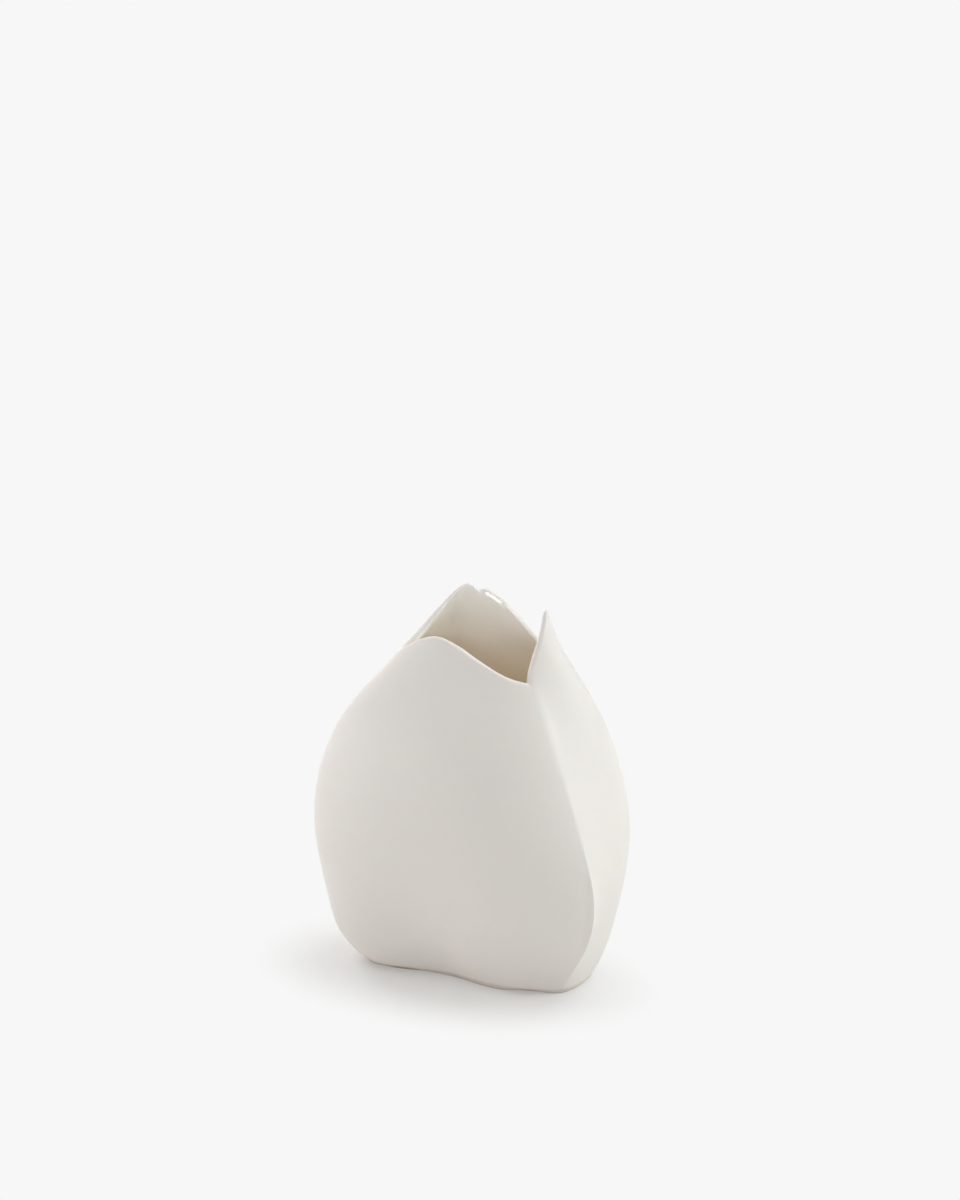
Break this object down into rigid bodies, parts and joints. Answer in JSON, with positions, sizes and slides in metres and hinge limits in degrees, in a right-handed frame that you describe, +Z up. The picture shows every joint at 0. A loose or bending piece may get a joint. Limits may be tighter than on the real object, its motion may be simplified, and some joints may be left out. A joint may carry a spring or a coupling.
{
  "type": "pillow vase",
  "caption": "Small porcelain vase, flattened like a pillow, folded from clay leaves whose free edges make a narrow pointed mouth; satin outside, glazed inside.",
  "frame": {"origin": "on the table, under the middle of the foot", "axes": "+Z up, -Y is the broad front face, +X is the end with the narrow pointed leaf"},
  "size_m": [0.126, 0.0758, 0.1554],
  "materials": {
    "satin_porcelain": "unglazed, sanded to a satin",
    "liner_glaze": "clear gloss glaze"
  },
  "bodies": {
    "root": {"front_petal": "satin_porcelain", "side_petal": "satin_porcelain", "back_petal": "satin_porcelain", "base_slab": "satin_porcelain", "inner_glaze": "liner_glaze"}
  },
  "joints": []
}
